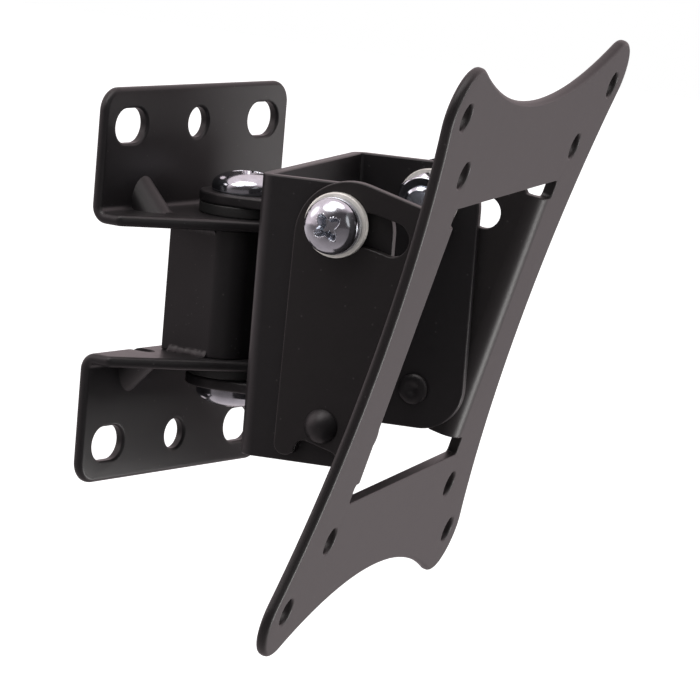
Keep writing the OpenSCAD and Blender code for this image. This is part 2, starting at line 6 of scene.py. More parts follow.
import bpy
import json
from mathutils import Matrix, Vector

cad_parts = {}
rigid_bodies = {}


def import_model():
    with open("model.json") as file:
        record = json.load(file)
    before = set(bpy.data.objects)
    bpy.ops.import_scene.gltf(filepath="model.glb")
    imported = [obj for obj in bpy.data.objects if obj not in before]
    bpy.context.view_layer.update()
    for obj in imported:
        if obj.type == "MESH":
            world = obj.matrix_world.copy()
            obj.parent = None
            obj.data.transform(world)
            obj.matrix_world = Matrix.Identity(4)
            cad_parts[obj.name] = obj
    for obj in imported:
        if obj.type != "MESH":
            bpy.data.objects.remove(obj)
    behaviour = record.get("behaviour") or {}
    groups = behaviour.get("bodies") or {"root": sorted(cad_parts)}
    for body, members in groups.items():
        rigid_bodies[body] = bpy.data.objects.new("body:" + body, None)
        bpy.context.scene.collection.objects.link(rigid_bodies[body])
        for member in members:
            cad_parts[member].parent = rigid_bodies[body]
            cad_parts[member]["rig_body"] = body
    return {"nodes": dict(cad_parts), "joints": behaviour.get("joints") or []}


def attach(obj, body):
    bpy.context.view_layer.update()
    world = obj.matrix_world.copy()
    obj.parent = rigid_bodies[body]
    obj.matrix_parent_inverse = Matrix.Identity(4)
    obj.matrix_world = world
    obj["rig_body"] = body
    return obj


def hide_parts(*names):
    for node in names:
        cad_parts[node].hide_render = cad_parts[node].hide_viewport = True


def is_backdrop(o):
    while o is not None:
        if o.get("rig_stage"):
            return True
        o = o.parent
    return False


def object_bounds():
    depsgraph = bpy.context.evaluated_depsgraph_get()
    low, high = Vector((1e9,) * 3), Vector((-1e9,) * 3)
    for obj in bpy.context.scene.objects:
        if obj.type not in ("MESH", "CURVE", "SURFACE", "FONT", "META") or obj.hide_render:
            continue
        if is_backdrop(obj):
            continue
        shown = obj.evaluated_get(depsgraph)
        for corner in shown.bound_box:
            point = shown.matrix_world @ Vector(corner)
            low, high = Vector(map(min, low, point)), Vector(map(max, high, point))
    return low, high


bl_info = {
    "name": "Folded steel screen mount",
    "version": (1, 0, 0),
    "blender": (4, 5, 0),
    "location": "View3D > Sidebar > Mount",
    "description": "Painted steel, plated fasteners and stage for a small tilting screen mount",
    "category": "Object",
}

import json
from math import atan2, cos, pi, radians, sin, tau

import bmesh
import bpy
from bpy.props import FloatProperty, FloatVectorProperty, IntProperty, PointerProperty
from bpy.types import Operator, Panel, PropertyGroup
from mathutils import Matrix, Vector

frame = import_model()
NODES = frame["nodes"]
JOINTS = {joint["name"]: joint for joint in frame["joints"]}

# The tilt that the photograph shows, in degrees, and its camera, fitted to the plate's holes.
TILT_AT_REST = 15.5
CAMERA_PLACE = (-0.686206, -0.526647, 0.120562)
CAMERA_TURN = (
    (0.58402, 0.0751547, -0.8082527),
    (-0.8075091, 0.1553098, -0.5690413),
    (0.0827634, 0.9850029, 0.1513921),
)
CAMERA_LENS = 223.468
SENSOR_WIDTH = 36.0

# Copies of CAD meshes: points this close are one, faces this even are one, and edges that
# turn more than the last two angles are sharp (in degrees, for sheets and for turned pieces).
MERGE = 0.000002
EVEN_ANGLE = 0.4
SHARP_ANGLE = 24
TURNED_ANGLE = 32

# Wall angles: the zone where the gusset ribs run into the sheet, and the longest hole.
RIB_OFFSET, RIB_HALF_WIDTH = 0.016, 0.006
RIB_DEPTH, RIB_HALF_HEIGHT = 0.0085, 0.024
WALL_HOLE_REACH = 0.014

# Screen plate: the depth of the rolled front edge, the zone of the ears' folds with the share
# of the crisp radius that fits there, and the longest hole.
FRONT_DEPTH = 0.0028
FOLD_INNER, FOLD_OUTER, FOLD_HALF_HEIGHT = 0.023, 0.036, 0.0315
FOLD_SHARE = 0.8
PLATE_HOLE_REACH = 0.008

# Roundings of the hinge bracket, the weld beads and the turned fasteners.
BRACKET_RADIUS = 0.0005
BEAD_RADIUS = 0.0002
BROKEN_EDGE = 0.00012

# Plated screws: each head's height and the flank under its dome, the shank, the sleeve nut's
# barrel and bore, and how far a recess cutter stands above the crown.
SWIVEL_HEAD, SWIVEL_FLANK = 0.0042, 0.0011
TILT_HEAD, TILT_FLANK = 0.0035, 0.0004
CROWN_GAP = 0.0004
SCREW_RADIUS, SCREW_CHAMFER = 0.003, 0.0004
NECK_LENGTH, CORE_RADIUS = 0.0035, 0.0022
BARREL_RADIUS, BARREL_CHAMFER = 0.004, 0.0003
BORE_RADIUS, BORE_DEPTH, BORE_TIP = 0.00305, 0.016, 0.0005
CUTTER_LEAD = 0.0003

# Cross recesses: the wings' and the core's share of the head's radius, and the depth.
SWIVEL_RECESS = (0.5, 0.22, 0.0022)
TILT_RECESS = (0.6, 0.3, 0.0026)

# Tilt rivets: the dome's rise, the shank and the closed tail.
RIVET_RISE = 0.002
RIVET_SHANK, RIVET_TAIL, TAIL_HEIGHT = 0.0025, 0.0031, 0.0011

# The flat washers stand this far off the ears, so that no two shown faces share a plane.
SEAT_GAP = 0.00004

# What the coat and the plating mirror: floor and room are bright on one side, dark on the other,
# and slightly tinted; on the floor this is painted shade and a painted glow, seen only in
# reflections.
FLOOR_SIDE, FLOOR_TINT = (0.8, 0.6, 0.0), (0.9, 0.77, 0.80)
ROOM_SIDE, ROOM_TINT = (0.5, 0.72, 0.48), (1.0, 0.84, 0.87)
BLACK, WHITE = (0.0, 0.0, 0.0), (1.0, 1.0, 1.0)

# Soft lights: name, place from the mount's middle, width, and the setting for the power.
LIGHTS = (
    ("sky_panel", (-0.25, -0.10, 1.1), 0.9, "key"),
    ("front_panel", (-0.35, -1.0, 0.35), 0.7, "fill"),
    ("right_panel", (0.74, -0.68, -0.02), 0.4, "side"),
    ("low_panel", (0.30, -0.36, -0.24), 0.2, "low"),
    ("left_panel", (-0.8, 0.1, 0.9), 0.7, "left"),
    ("wall_side_panel", (-0.7, 0.85, 0.5), 0.6, "fill"),
)
LIGHT_COLOUR = (1.0, 0.99, 0.975)


def joint_place(name):
    """Point and direction of a joint's axis at rest."""
    joint = JOINTS[name]
    return Vector(joint["pos_m"]), Vector(joint["axis"]).normalized()


SWIVEL, _ = joint_place("swivel")
PIVOT, TILT_AXIS = joint_place("tilt")
HEAD_TURN = Matrix.Rotation(atan2(TILT_AXIS.y, TILT_AXIS.x), 4, "Z")
HEAD = Matrix.Translation(SWIVEL) @ HEAD_TURN
PLATE = Matrix.Translation(PIVOT) @ HEAD_TURN @ Matrix.Rotation(radians(TILT_AT_REST), 4, "X")


def span(node, place):
    """Lowest and highest corner of a CAD node, as seen from a local place."""
    back = place.inverted()
    points = [back @ v.co for v in NODES[node].data.vertices]
    low = Vector([min(p[i] for p in points) for i in range(3)])
    high = Vector([max(p[i] for p in points) for i in range(3)])
    return low, high


def side_place(side, node):
    """Place whose Z axis runs outward on one side, through the middle of the node."""
    low, high = span(node, HEAD)
    middle = Vector((PIVOT.x, PIVOT.y, (low.z + high.z) / 2))
    return Matrix.Translation(middle) @ HEAD_TURN @ Matrix.Rotation(side * pi / 2, 4, "Y")


# ---------------------------------------------------------------- settings


def colour(name, text, value):
    return FloatVectorProperty(
        name=name, description=text, subtype="COLOR", size=3, min=0, max=1, default=value
    )


def length(name, text, value):
    return FloatProperty(
        name=name, description=text, unit="LENGTH", subtype="DISTANCE", min=0, default=value
    )


def factor(name, text, value):
    return FloatProperty(
        name=name, description=text, subtype="FACTOR", min=0, max=1, default=value
    )


def power(name, text, value):
    return FloatProperty(name=name, description=text, unit="POWER", default=value)


class MountPaint(PropertyGroup):
    """Painted sheet steel."""

    frame_dark: colour(
        "Frame paint, dark", "Darker tone of the frame's powder coat", (0.0090, 0.0080, 0.0090)
    )
    frame_light: colour(
        "Frame paint, light", "Lighter tone of the frame's powder coat", (0.0130, 0.0116, 0.0127)
    )
    plate_dark: colour(
        "Plate paint, dark", "Darker tone of the screen plate's coat", (0.0098, 0.0082, 0.0088)
    )
    plate_light: colour(
        "Plate paint, light", "Lighter tone of the screen plate's coat", (0.0145, 0.0122, 0.0128)
    )
    worn: colour("Worn edge", "Colour of the coat where it is rubbed", (0.055, 0.050, 0.051))
    frame_roughness: factor("Frame roughness", "Roughness of the frame's coat", 0.40)
    plate_roughness: factor("Plate roughness", "Roughness of the screen plate's coat", 0.42)
    grain: length("Grain", "Size of the coat's fine grain", 0.00035)
    edge_radius: length("Edge radius", "Rounding of the sheet's rolled edges", 0.0009)
    crisp_radius: length("Crisp edge radius", "Rounding of the box's and ears' edges", 0.00035)
    rim_radius: length("Rim radius", "Rounding of the punched holes", 0.0006)


class MountFasteners(PropertyGroup):
    """Plated screws, nuts and washers."""

    steel: colour("Bright plating", "Colour of the plated screws", (0.68, 0.72, 0.78))
    # Washer colour: partly the plating's own tint, partly painted sheen, as the washers are mostly
    # matt.
    zinc_and_sheen: colour("Washer plating", "Colour of the plated washers", (0.95, 0.91, 0.86))
    nylon: colour("Friction washer", "Colour of the black washers", (0.012, 0.012, 0.012))
    pitch: length("Thread pitch", "Distance between two turns of a tilt screw's thread", 0.001)
    steps: IntProperty(
        name="Turning steps",
        description="Faces round a turned piece",
        min=24,
        max=128,
        default=72,
    )


class MountStage(PropertyGroup):
    """Floor, light and surroundings."""

    floor_drop: length("Floor drop", "Distance from the lowest tip down to the floor", 0.3)
    key: power("Key light", "Power of the soft light above", 3.2)
    fill: power("Fill light", "Power of the soft light in front", 0.8)
    side: power("Side light", "Power of the light at the right", 1.4)
    low: power("Low light", "Power of the small low light in front", 1.1)
    left: power("Left light", "Power of the high light at the left", 3.0)
    ambient: factor("Ambient light", "Strength of the surroundings on matt surfaces", 0.55)


# ---------------------------------------------------------------- shader helpers


def new_group(name, inputs, outputs):
    """Shader node group with named sockets; gives the group, its input node and its output node."""
    group = bpy.data.node_groups.new(name, "ShaderNodeTree")
    for socket, kind, value in inputs:
        made = group.interface.new_socket(name=socket, in_out="INPUT", socket_type=kind)
        made.default_value = value
    for socket, kind in outputs:
        group.interface.new_socket(name=socket, in_out="OUTPUT", socket_type=kind)
    return group, group.nodes.new("NodeGroupInput"), group.nodes.new("NodeGroupOutput")


def add(tree, kind, links=(), **values):
    """Node of one kind, with its properties set and its inputs either set or linked."""
    node = tree.nodes.new(kind)
    for key, value in values.items():
        setattr(node, key, value)
    for key, value in dict(links).items():
        if isinstance(value, bpy.types.NodeSocket):
            tree.links.new(value, node.inputs[key])
        else:
            node.inputs[key].default_value = value
    return node


def math(tree, operation, a, b=0.0, clamp=False):
    """Result of one sum."""
    node = add(tree, "ShaderNodeMath", {0: a, 1: b}, operation=operation, use_clamp=clamp)
    return node.outputs[0]


def dot(tree, a, b):
    """Dot product of two directions."""
    node = add(tree, "ShaderNodeVectorMath", {0: a, 1: b}, operation="DOT_PRODUCT")
    return node.outputs["Value"]


def blend(tree, amount, a, b):
    """Mix of two colours."""
    node = add(tree, "ShaderNodeMix", data_type="RGBA")
    for index, value in ((0, amount), (6, a), (7, b)):
        if isinstance(value, bpy.types.NodeSocket):
            tree.links.new(value, node.inputs[index])
        else:
            node.inputs[index].default_value = (*value, 1) if index else value
    return node.outputs[2]


def ramp(tree, value, low, high):
    """Value mapped from low..high to 0..1."""
    return add(tree, "ShaderNodeMapRange", {0: value, 1: low, 2: high}).outputs[0]


def object_place(tree):
    """Coordinates of the object itself, which don't move with the camera."""
    return add(tree, "ShaderNodeTexCoord").outputs["Object"]


def noise(tree, scale, detail, roughness=0.5):
    """Noise on the object's coordinates."""
    values = {"Scale": scale, "Detail": detail, "Roughness": roughness}
    node = add(tree, "ShaderNodeTexNoise", {"Vector": object_place(tree), **values})
    return node.outputs["Fac"]


def coat_grain_group():
    """Fine orange-peel grain, soft mottling and single bright specks of a powder coat."""
    mottle_scale, mottle_share = 190.0, 0.4
    cell_share, speck_radius = 0.42, 0.24
    group, inside, out = new_group(
        "coat_grain",
        [("Grain Size", "NodeSocketFloat", 0.00035), ("Speck Share", "NodeSocketFloat", 0.05)],
        [(name, "NodeSocketFloat") for name in ("Height", "Mottle", "Speck")],
    )
    scale = math(group, "DIVIDE", 1.0, inside.outputs["Grain Size"])
    fine = noise(group, scale, 2.0, 0.6)
    broad = noise(group, mottle_scale, 4.0, 0.62)
    cells = add(
        group,
        "ShaderNodeTexVoronoi",
        {"Vector": object_place(group), "Scale": math(group, "MULTIPLY", scale, cell_share)},
        feature="F1",
    )
    pick = add(group, "ShaderNodeSeparateColor", {"Color": cells.outputs["Color"]})
    chosen = math(group, "LESS_THAN", pick.outputs["Red"], inside.outputs["Speck Share"])
    spot = math(group, "LESS_THAN", cells.outputs["Distance"], speck_radius)
    mixed = math(group, "MULTIPLY", broad, mottle_share)
    mixed = math(group, "ADD", mixed, math(group, "MULTIPLY", fine, 1.0 - mottle_share))
    group.links.new(fine, out.inputs["Height"])
    group.links.new(ramp(group, mixed, 0.25, 0.75), out.inputs["Mottle"])
    group.links.new(math(group, "MULTIPLY", chosen, spot), out.inputs["Speck"])
    return group


def edge_wear_group():
    """Mask that is bright where the surface turns sharply, broken up by noise."""
    wear_scale, full_wear = 420.0, 0.72
    group, inside, out = new_group(
        "edge_wear",
        [("Width", "NodeSocketFloat", 0.0006), ("Break Up", "NodeSocketFloat", 0.5)],
        [("Mask", "NodeSocketFloat")],
    )
    soft = add(group, "ShaderNodeBevel", {"Radius": inside.outputs["Width"]}, samples=4)
    flat = add(group, "ShaderNodeNewGeometry").outputs["Normal"]
    same = dot(group, soft.outputs[0], flat)
    turn = ramp(group, math(group, "SUBTRACT", 1.0, same), 0.004, 0.10)
    patch = noise(group, wear_scale, 5.0, 0.7)
    broken = ramp(group, patch, inside.outputs["Break Up"], full_wear)
    group.links.new(math(group, "MULTIPLY", turn, broken, clamp=True), out.inputs["Mask"])
    return group


def light_dust_group():
    """Mask of fine dust on upward faces."""
    dust_scale = 650.0
    group, inside, out = new_group(
        "light_dust", [("Amount", "NodeSocketFloat", 0.2)], [("Mask", "NodeSocketFloat")]
    )
    normal = add(group, "ShaderNodeNewGeometry").outputs["Normal"]
    up = add(group, "ShaderNodeSeparateXYZ", {0: normal}).outputs["Z"]
    patch = ramp(group, noise(group, dust_scale, 6.0, 0.75), 0.45, 0.75)
    mask = math(group, "MULTIPLY", ramp(group, up, 0.35, 1.0), patch)
    mask = math(group, "MULTIPLY", mask, inside.outputs["Amount"])
    group.links.new(mask, out.inputs["Mask"])
    return group


def grouped(tree, name, build, inputs):
    """Node of a shared group, which is built the first time it is asked for."""
    group = bpy.data.node_groups.get(name) or build()
    return add(tree, "ShaderNodeGroup", inputs, node_tree=group)


def new_material(name):
    """Material with its node tree and its main surface node."""
    material = bpy.data.materials.new(name)
    material.use_nodes = True
    tree = material.node_tree
    return material, tree, tree.nodes["Principled BSDF"]


def painted_steel(name, dark, light, worn, roughness, grain, ripple=0.0):
    """Satin powder coat: grain, mottling, specks, rubbed edges and a little dust."""
    found = bpy.data.materials.get(name)
    if found:
        return found
    speck_strength, wear_strength = 0.5, 0.45
    dust_colour, dust_roughness = (0.16, 0.15, 0.145), 0.6
    mottle_roughness = 0.03
    grain_depth, bead_depth, bead_share = 0.000018, 0.00004, 9.0
    material, tree, coat = new_material(name)
    peel = {"Grain Size": grain, "Speck Share": 0.035}
    coat_grain = grouped(tree, "coat_grain", coat_grain_group, peel)
    rubbed = {"Width": 0.0005, "Break Up": 0.42}
    wear = grouped(tree, "edge_wear", edge_wear_group, rubbed).outputs["Mask"]
    dust = grouped(tree, "light_dust", light_dust_group, {"Amount": 0.12}).outputs["Mask"]
    tone = blend(tree, coat_grain.outputs["Mottle"], tuple(dark), tuple(light))
    speck = math(tree, "MULTIPLY", coat_grain.outputs["Speck"], speck_strength)
    tone = blend(tree, speck, tone, tuple(worn))
    tone = blend(tree, math(tree, "MULTIPLY", wear, wear_strength), tone, tuple(worn))
    tone = blend(tree, dust, tone, dust_colour)
    tree.links.new(tone, coat.inputs["Base Color"])
    rough = math(tree, "MULTIPLY", coat_grain.outputs["Mottle"], mottle_roughness)
    rough = math(tree, "ADD", rough, roughness - mottle_roughness / 2)
    dusty = math(tree, "MULTIPLY", dust, dust_roughness)
    tree.links.new(math(tree, "ADD", rough, dusty, clamp=True), coat.inputs["Roughness"])
    height, depth = coat_grain.outputs["Height"], grain_depth
    if ripple:
        bead = math(tree, "MULTIPLY", noise(tree, ripple, 1.0), bead_share)
        height, depth = math(tree, "ADD", bead, height), bead_depth
    bump = add(tree, "ShaderNodeBump", {"Strength": 0.55, "Distance": depth, "Height": height})
    tree.links.new(bump.outputs[0], coat.inputs["Normal"])
    coat.inputs["IOR"].default_value = 1.46
    return material


def plated_steel(name, tint, roughness, grain, metallic=1.0):
    """Plated steel with fine polishing marks, haze and brighter rubbed edges."""
    found = bpy.data.materials.get(name)
    if found:
        return found
    haze_scale, haze_roughness = 420.0, 0.10
    mark_scale, mark_depth = 4200.0, 0.000006
    wear_strength = 0.6
    material, tree, metal = new_material(name)
    haze = noise(tree, haze_scale, 4.0, 0.6)
    marks = noise(tree, mark_scale, 2.0)
    rubbed = {"Width": 0.0003, "Break Up": 0.35}
    wear = grouped(tree, "edge_wear", edge_wear_group, rubbed).outputs["Mask"]
    dull = tuple(c * 0.82 for c in tint)
    bright = tuple(min(1.0, c * 1.12) for c in tint)
    tone = blend(tree, ramp(tree, haze, 0.38, 0.66), dull, tuple(tint))
    tone = blend(tree, math(tree, "MULTIPLY", wear, wear_strength), tone, bright)
    tree.links.new(tone, metal.inputs["Base Color"])
    rough = math(tree, "MULTIPLY", haze, haze_roughness)
    rough = math(tree, "ADD", rough, roughness - haze_roughness / 2)
    tree.links.new(rough, metal.inputs["Roughness"])
    polish = {"Strength": grain, "Distance": mark_depth, "Height": marks}
    tree.links.new(add(tree, "ShaderNodeBump", polish).outputs[0], metal.inputs["Normal"])
    metal.inputs["Metallic"].default_value = metallic
    return material


def black_nylon(name, tint):
    """Moulded black plastic with a faint grain."""
    found = bpy.data.materials.get(name)
    if found:
        return found
    base_roughness, grain_roughness, grain_depth = 0.42, 0.12, 0.00001
    material, tree, plastic = new_material(name)
    peel = {"Grain Size": 0.0002, "Speck Share": 0.0}
    grain = grouped(tree, "coat_grain", coat_grain_group, peel)
    tone = blend(tree, grain.outputs["Mottle"], tuple(tint), tuple(c * 1.9 for c in tint))
    tree.links.new(tone, plastic.inputs["Base Color"])
    rough = math(tree, "MULTIPLY", grain.outputs["Mottle"], grain_roughness)
    tree.links.new(math(tree, "ADD", rough, base_roughness), plastic.inputs["Roughness"])
    moulded = {"Strength": 0.4, "Distance": grain_depth, "Height": grain.outputs["Height"]}
    tree.links.new(add(tree, "ShaderNodeBump", moulded).outputs[0], plastic.inputs["Normal"])
    return material


# ---------------------------------------------------------------- piece helpers


def finish_piece(name, bm, node, material, place=None):
    """Turns a bmesh into the shown piece that stands for a CAD node and rides on its body."""
    if node not in NODES:
        raise RuntimeError(f"the frame has no node {node}")
    if place is not None:
        bmesh.ops.transform(bm, matrix=place, verts=bm.verts)
    mesh = bpy.data.meshes.new(name)
    bm.to_mesh(mesh)
    bm.free()
    mesh.shade_smooth()
    piece = bpy.data.objects.new(name, mesh)
    bpy.context.scene.collection.objects.link(piece)
    mesh.materials.append(material)
    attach(piece, NODES[node]["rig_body"])
    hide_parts(node)
    return piece


def sharp_chains(bm, limit):
    """Sharp edges of a mesh, grouped where they run into each other."""
    sharp = {e for e in bm.edges if len(e.link_faces) == 2 and e.calc_face_angle(0.0) > limit}
    chains = []
    while sharp:
        chain, edge = [], sharp.pop()
        waiting = [edge]
        while waiting:
            edge = waiting.pop()
            chain.append(edge)
            for vert in edge.verts:
                for other in vert.link_edges:
                    if other in sharp:
                        sharp.remove(other)
                        waiting.append(other)
        chains.append(chain)
    return chains


def merged_copy(node):
    """Copy of a CAD node with its loose triangles joined and its flat faces made whole."""
    bm = bmesh.new()
    bm.from_mesh(NODES[node].data)
    bmesh.ops.remove_doubles(bm, verts=bm.verts, dist=MERGE)
    bmesh.ops.dissolve_limit(
        bm,
        angle_limit=radians(EVEN_ANGLE),
        use_dissolve_boundaries=False,
        verts=bm.verts,
        edges=bm.edges,
    )
    return bm


def fully(chain, edge):
    """Weight of a piece whose edges are all rounded alike."""
    return 1.0


def round_edges(bm, weigh=fully, limit=SHARP_ANGLE):
    """Stores on each sharp edge how far the bevel rounds it; weigh(chain, edge) gives 0 to 1."""
    name = "bevel_weight_edge"
    layer = bm.edges.layers.float.get(name) or bm.edges.layers.float.new(name)
    for chain in sharp_chains(bm, radians(limit)):
        for edge in chain:
            edge[layer] = weigh(chain, edge)
            edge.smooth = edge[layer] > 0


def chain_reach(chain):
    """Longest side of the box round a chain of edges."""
    points = [v.co for e in chain for v in e.verts]
    return max(max(p[i] for p in points) - min(p[i] for p in points) for i in range(3))


def add_rounding(piece, radius, segments=3, clamp=False):
    """Bevels the weighted edges and evens out the shading."""
    bevel = piece.modifiers.new("rounded_edges", "BEVEL")
    bevel.limit_method = "WEIGHT"
    bevel.width = radius
    bevel.segments = segments
    bevel.miter_outer = "MITER_ARC"
    bevel.use_clamp_overlap = clamp
    bevel.loop_slide = False
    normals = piece.modifiers.new("even_shading", "WEIGHTED_NORMAL")
    normals.keep_sharp = True
    normals.weight = 60
    return piece


def sheet_piece(node, material, radius, weigh=fully, segments=3):
    """Copy of a folded sheet with rolled edges."""
    bm = merged_copy(node)
    large = [face for face in bm.faces if len(face.verts) > 4]
    bmesh.ops.triangulate(bm, faces=large, ngon_method="BEAUTY")
    round_edges(bm, weigh)
    piece = finish_piece(f"{node}_sheet", bm, node, material)
    return add_rounding(piece, radius, segments)


def small_piece(
    node, material, radius, segments=2, limit=SHARP_ANGLE, clamp=False, shift=(0, 0, 0)
):
    """Copy of a turned or plain CAD node with lightly broken edges."""
    bm = merged_copy(node)
    bmesh.ops.translate(bm, vec=shift, verts=bm.verts)
    round_edges(bm, limit=limit)
    piece = finish_piece(f"{node}_part", bm, node, material)
    return add_rounding(piece, radius, segments, clamp)


def turned(profile, steps):
    """Solid of revolution from a profile of (radius, height) points, drawn axis to axis."""
    bm = bmesh.new()
    verts = [bm.verts.new((r, 0, z)) for r, z in profile]
    edges = [bm.edges.new(pair) for pair in zip(verts, verts[1:])]
    bmesh.ops.spin(
        bm,
        geom=verts + edges,
        cent=(0, 0, 0),
        axis=(0, 0, 1),
        angle=tau,
        steps=steps,
        use_merge=True,
    )
    bmesh.ops.remove_doubles(bm, verts=bm.verts, dist=MERGE / 2)
    bmesh.ops.recalc_face_normals(bm, faces=bm.faces)
    return bm


def arc(centre, radius, first, last, count):
    """Points along an arc, angles in degrees."""
    return [
        (
            centre[0] + radius * cos(radians(first + (last - first) * i / count)),
            centre[1] + radius * sin(radians(first + (last - first) * i / count)),
        )
        for i in range(count + 1)
    ]


def head_profile(radius, height, flank):
    """Half outline of a round screw head from the axis to its seat: dome, short flank, foot."""
    steps, fullness, foot_radius = 22, 0.9, 0.0003
    rise = height - flank
    angles = [radians(90 * i / steps) for i in range(steps)]
    dome = [(radius * sin(t), flank + rise * cos(t) ** fullness) for t in angles]
    foot = arc((radius - foot_radius, foot_radius), foot_radius, 0, -90, 3)
    return dome + [(radius, flank)] + foot


def driver_cutter(reach, core, depth, turn):
    """Tapered four-winged plug that cuts a cross recess, standing on z = 0, pointing down."""
    steps, wing_share, wing_slope, taper = 80, 0.88, 1.25, 0.5
    bm = bmesh.new()
    made = bmesh.ops.create_circle(bm, cap_ends=True, segments=steps, radius=1.0)
    for vert in made["verts"]:
        angle = atan2(vert.co.y, vert.co.x)
        off = abs((angle / (pi / 2) + 0.5) % 1.0 - 0.5) * 2
        wing = min(1.0, (1.0 - off) / wing_share) ** wing_slope
        r = core + (reach - core) * wing
        vert.co = Vector((r * cos(angle + turn), r * sin(angle + turn), CUTTER_LEAD))
    out = bmesh.ops.extrude_face_region(bm, geom=bm.faces[:])
    low = [v for v in out["geom"] if isinstance(v, bmesh.types.BMVert)]
    bmesh.ops.scale(bm, vec=(taper, taper, 1), verts=low)
    bmesh.ops.translate(bm, vec=(0, 0, -depth - CUTTER_LEAD), verts=low)
    bmesh.ops.recalc_face_normals(bm, faces=bm.faces)
    return bm


def cut_away(bm, cutter):
    """Takes the cutter's volume away from a mesh and gives back the result."""
    made = []
    for part in (bm, cutter):
        mesh = bpy.data.meshes.new("cutting")
        part.to_mesh(mesh)
        part.free()
        blank = bpy.data.objects.new("cutting", mesh)
        bpy.context.scene.collection.objects.link(blank)
        made.append(blank)
    work, tool = made
    boolean = work.modifiers.new("recess", "BOOLEAN")
    boolean.operation = "DIFFERENCE"
    boolean.solver = "EXACT"
    boolean.object = tool
    graph = bpy.context.evaluated_depsgraph_get()
    result = bpy.data.meshes.new_from_object(work.evaluated_get(graph))
    out = bmesh.new()
    out.from_mesh(result)
    for blank in made:
        mesh = blank.data
        bpy.data.objects.remove(blank)
        bpy.data.meshes.remove(mesh)
    bpy.data.meshes.remove(result)
    if not out.faces:
        raise RuntimeError("the driver recess left nothing of a screw head")
    return out


def cut_recess(bm, crown, radius, recess, turn):
    """Cuts a cross recess at a head's crown, whose place faces outward along its Z axis."""
    reach, core, depth = recess
    cutter = driver_cutter(radius * reach, radius * core, depth, turn)
    bmesh.ops.transform(cutter, matrix=crown, verts=cutter.verts)
    return cut_away(bm, cutter)


def thread(radius, pitch, low, high, steps):
    """Helical thread between two heights, closed at both ends, chamfered at the low end."""
    turns = max(1, round((high - low) / pitch) - 1)
    depth = 0.6 * pitch
    root = radius - depth
    bm = bmesh.new()
    outline = [(root, 0.0), (radius, 0.42 * pitch), (radius, 0.58 * pitch), (root, pitch)]
    verts = [bm.verts.new((r, 0, low + z)) for r, z in outline]
    edges = [bm.edges.new(pair) for pair in zip(verts, verts[1:])]
    bmesh.ops.spin(
        bm,
        geom=verts + edges,
        cent=(0, 0, 0),
        axis=(0, 0, 1),
        dvec=(0, 0, pitch / steps),
        angle=tau * turns,
        steps=steps * turns,
        use_merge=False,
    )
    bmesh.ops.remove_doubles(bm, verts=bm.verts, dist=MERGE)
    for vert in bm.verts:
        r = Vector(vert.co.xy).length
        limit = radius - 0.55 * depth + max(0.0, vert.co.z - low)
        if r > limit and vert.co.z < low + pitch:
            vert.co.xy = vert.co.xy * (limit / r)
    bmesh.ops.holes_fill(bm, edges=[e for e in bm.edges if e.is_boundary], sides=0)
    bmesh.ops.recalc_face_normals(bm, faces=bm.faces)
    return bm


def join(bm, other):
    """Adds another bmesh's geometry to this one."""
    mesh = bpy.data.meshes.new("joining")
    other.to_mesh(mesh)
    other.free()
    bm.from_mesh(mesh)
    bpy.data.meshes.remove(mesh)
    return bm


def plated_piece(name, bm, node, material, place, weigh=fully):
    """Shown piece from a turned and plated fastener, with lightly broken edges."""
    round_edges(bm, weigh, TURNED_ANGLE)
    piece = finish_piece(name, bm, node, material, place)
    return add_rounding(piece, BROKEN_EDGE, 2)


# ---------------------------------------------------------------- finishes


def frame_paint(scene, name="frame_paint_coat", smoother=0.0, ripple=0.0):
    """Coat of the wall bracket and the swivel head."""
    paint = scene.mount_paint
    return painted_steel(
        name,
        paint.frame_dark,
        paint.frame_light,
        paint.worn,
        paint.frame_roughness - smoother,
        paint.grain,
        ripple,
    )


def weld_paint(scene):
    """The frame's coat over a rippled weld bead."""
    return frame_paint(scene, "weld_paint_coat", smoother=0.06, ripple=900.0)


def plate_paint(scene):
    """Slightly warmer coat of the screen plate."""
    paint = scene.mount_paint
    return painted_steel(
        "plate_paint_coat",
        paint.plate_dark,
        paint.plate_light,
        paint.worn,
        paint.plate_roughness,
        paint.grain,
    )


def bright_plating(scene):
    """Polished plating of the screws and nuts."""
    return plated_steel("bright_plating", scene.mount_fasteners.steel, 0.15, 0.1)


def washer_plating(scene):
    """Duller, paler plating of the washers; the pale, mostly matt colour is painted sheen standing
    in for the plating's bright reflections.
    """
    # A metallic share of 0.3 leaves the pale colour mostly matt, so it shows as painted sheen in
    # place of bright reflections.
    return plated_steel("washer_plating", scene.mount_fasteners.zinc_and_sheen, 0.42, 0.15, 0.3)


# ---------------------------------------------------------------- operators


class MOUNT_OT_wall_angles(Operator):
    """Dress the two wall angles: rolled edges, softer rims on the punched holes"""

    bl_idname = "mount.wall_angles"
    bl_label = "Wall angles"

    def execute(self, context):
        paint = context.scene.mount_paint
        rim = paint.rim_radius / paint.edge_radius

        def near_rib(point):
            beside = abs(abs(point.x) - RIB_OFFSET) < RIB_HALF_WIDTH
            return beside and point.y > -RIB_DEPTH and abs(point.z) < RIB_HALF_HEIGHT

        def weigh(chain, edge):
            if all(near_rib(vert.co) for vert in edge.verts):
                return 0.0
            return rim if chain_reach(chain) < WALL_HOLE_REACH else 1.0

        coat = frame_paint(context.scene)
        for node in ("upper_wall_angle", "lower_wall_angle"):
            sheet_piece(node, coat, paint.edge_radius, weigh, 4)
        return {"FINISHED"}


class MOUNT_OT_centre_post(Operator):
    """Dress the centre post and the weld fillets that hold it"""

    bl_idname = "mount.centre_post"
    bl_label = "Centre post"

    def execute(self, context):
        radius = context.scene.mount_paint.crisp_radius
        sheet_piece("centre_post", frame_paint(context.scene), radius)
        beads = weld_paint(context.scene)
        small_piece("post_welds", beads, BEAD_RADIUS, 3, clamp=True)
        return {"FINISHED"}


